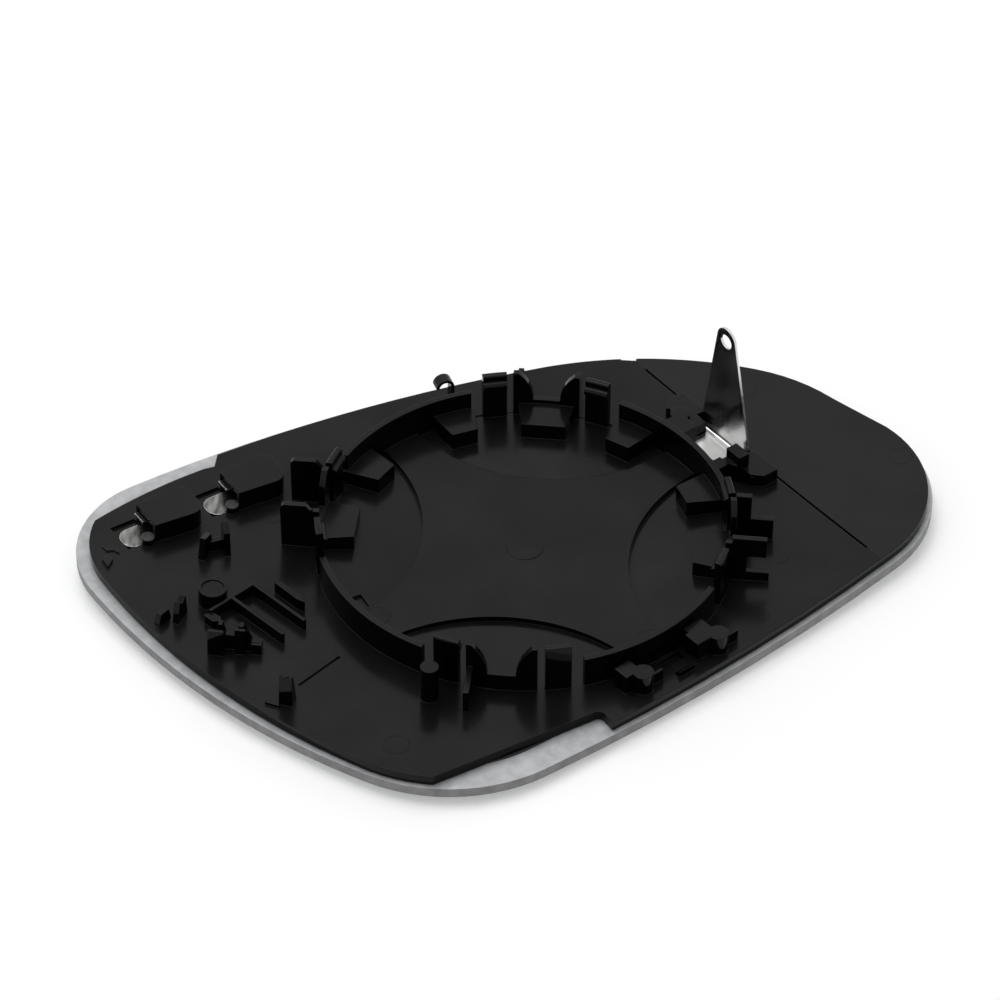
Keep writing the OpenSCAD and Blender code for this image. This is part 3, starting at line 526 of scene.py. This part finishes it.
# %% Rimmed discs
def rimmed_disc(name, radius, height, rim, dish):
    """A round disc on the plane z = 0 with a raised rim around a shallow dish."""
    bpy.ops.object.select_all(action="DESELECT")
    bpy.ops.mesh.primitive_cylinder_add(vertices=48, radius=radius, depth=2 * height)
    disc = bpy.context.active_object
    disc.name = name
    sink_top(disc, rim, dish)
    edge = disc.modifiers.new("edge", "BEVEL")
    edge.width = dish / 3
    edge.segments = 2
    bpy.ops.object.modifier_apply(modifier=edge.name)
    bpy.ops.object.shade_smooth_by_angle(angle=math.radians(20))
    return disc


def lay_on_plate(piece, x, y, lift=0.0):
    """Moves a piece's mesh from the origin to a spot on the bent plate, square to it."""
    spot = Vector((x * MM, y * MM, bend_height(x * MM, y * MM)))
    outward = (Vector((0, 0, BEND_RADIUS)) - spot).normalized()
    turn = outward.to_track_quat("Z", "Y").to_matrix().to_4x4()
    piece.data.transform(Matrix.Translation(spot + lift * outward) @ turn)
    piece.data.update()


print("a disc is laid down with rimmed_disc and lay_on_plate")

# %% Ejector pin marks
PIN_SPOTS = [(-15.2, 45.6), (-50, 17.4), (-50.3, 2.9), (-0.7, 45.7), (48.8, 2.2), (60.4, 1.5),
             (71.6, 33.2), (-17.4, -58.4), (46.2, -14.8), (-25.8, -23.2), (26.4, -23.6),
             (39.4, 51.5)]
PIN_MARK = {"radius": 2.5 * MM, "height": 0.03 * MM, "rim": 0.15 * MM, "dish": 0.028 * MM}
marks = [rimmed_disc("pin_mark_1", **PIN_MARK)]
for number in range(2, len(PIN_SPOTS) + 1):
    mark = bpy.data.objects.new("pin_mark_%d" % number, marks[0].data.copy())
    bpy.context.scene.collection.objects.link(mark)
    marks.append(mark)
for mark, (x, y) in zip(marks, PIN_SPOTS):
    lay_on_plate(mark, x, y)
    dress(mark, plastic)
print("laid", len(marks), "pin marks")

# %% Stake heads and the post's filled top
STAKE_HEAD = {"radius": 1.3 * MM, "height": 0.14 * MM, "rim": 0.4 * MM, "dish": 0.12 * MM}
POST_TOP = {"radius": 2.2 * MM, "height": 0.3 * MM, "rim": 0.3 * MM, "dish": 0.1 * MM}
STAKE_HEIGHT = 1.5 * MM
POST_HEIGHT = 2.95 * MM
RAISED_DISCS = [("stake_head_left", STAKE_HEAD, -72.75, -9.08, STAKE_HEIGHT, pressed),
                ("stake_head_right", STAKE_HEAD, -58.22, 2.96, STAKE_HEIGHT, pressed),
                ("post_top", POST_TOP, -57.59, -23.62, POST_HEIGHT, plastic)]
for name, sizes, x, y, lift, finish in RAISED_DISCS:
    disc = rimmed_disc(name, **sizes)
    lay_on_plate(disc, x, y, lift)
    dress(disc, finish)
    print("made", name)

# %% [markdown]
# ## Floor, world and lamp
#
# The photograph was taken in a light tent: white on all sides, light from above. The world is
# white for the camera and for reflections, so metal and gloss show a white tent, and weaker as a
# light. The white paper of the floor glows a little in the same rays only, so that it shows as
# white and still takes a shadow. A large soft lamp above gives the faint shadow under the raised
# rim.


# %% Floor
FLOOR_GLOW = 0.11


def seen_directly(tree):
    """1 for what the camera sees, also in a mirror or through glass, and 0 for light."""
    rays = tree.nodes.new("ShaderNodeLightPath")
    seen = combine(tree, "MAXIMUM", rays.outputs["Is Camera Ray"], rays.outputs["Is Glossy Ray"])
    return combine(tree, "MAXIMUM", seen, rays.outputs["Is Transmission Ray"])


bpy.ops.object.select_all(action="DESELECT")
bpy.ops.mesh.primitive_plane_add(size=6, location=(0, 0, glass_low.z))
floor = bpy.context.active_object
floor.name = "floor"
paper, tree, shader = new_finish("white_paper", (0.93, 0.93, 0.93), 0.6, specular=0.2)
tree.links.new(blend_colors(tree, noise(tree, place_pattern(tree), 3, 1), (0.925, 0.925, 0.925),
                            (0.935, 0.935, 0.935)), shader.inputs["Base Color"])
tree.links.new(combine(tree, "MULTIPLY", seen_directly(tree), FLOOR_GLOW),
               shader.inputs["Emission Strength"])
shader.inputs["Emission Color"].default_value = (1, 1, 1, 1)
floor.data.materials.append(paper)
print("floor at z = %.2f mm" % (glass_low.z / MM))

# %% World and lamp
TENT_LIGHT = 0.6
TENT_SEEN = 1.0
LAMP_PLACE = Vector((-0.3, 0.35, 1.3))
world = bpy.data.worlds.new("tent")
bpy.context.scene.world = world
world.use_nodes = True
tree = world.node_tree
background = tree.nodes["Background"]
background.inputs["Color"].default_value = (1, 1, 1, 1)
tree.links.new(spread(tree, seen_directly(tree), TENT_LIGHT, TENT_SEEN, 0, 1),
               background.inputs["Strength"])

softbox_data = bpy.data.lights.new("softbox", "AREA")
softbox_data.shape = "SQUARE"
softbox_data.size = 1.0
softbox_data.energy = 9
softbox = bpy.data.objects.new("softbox", softbox_data)
bpy.context.scene.collection.objects.link(softbox)
softbox.location = LAMP_PLACE
softbox.rotation_euler = (-LAMP_PLACE).to_track_quat("-Z", "Y").to_euler()
print("lamp:", softbox.name, softbox_data.energy, "W")

# %% View settings
bpy.context.scene.view_settings.view_transform = "Standard"
print("view transform:", bpy.context.scene.view_settings.view_transform)
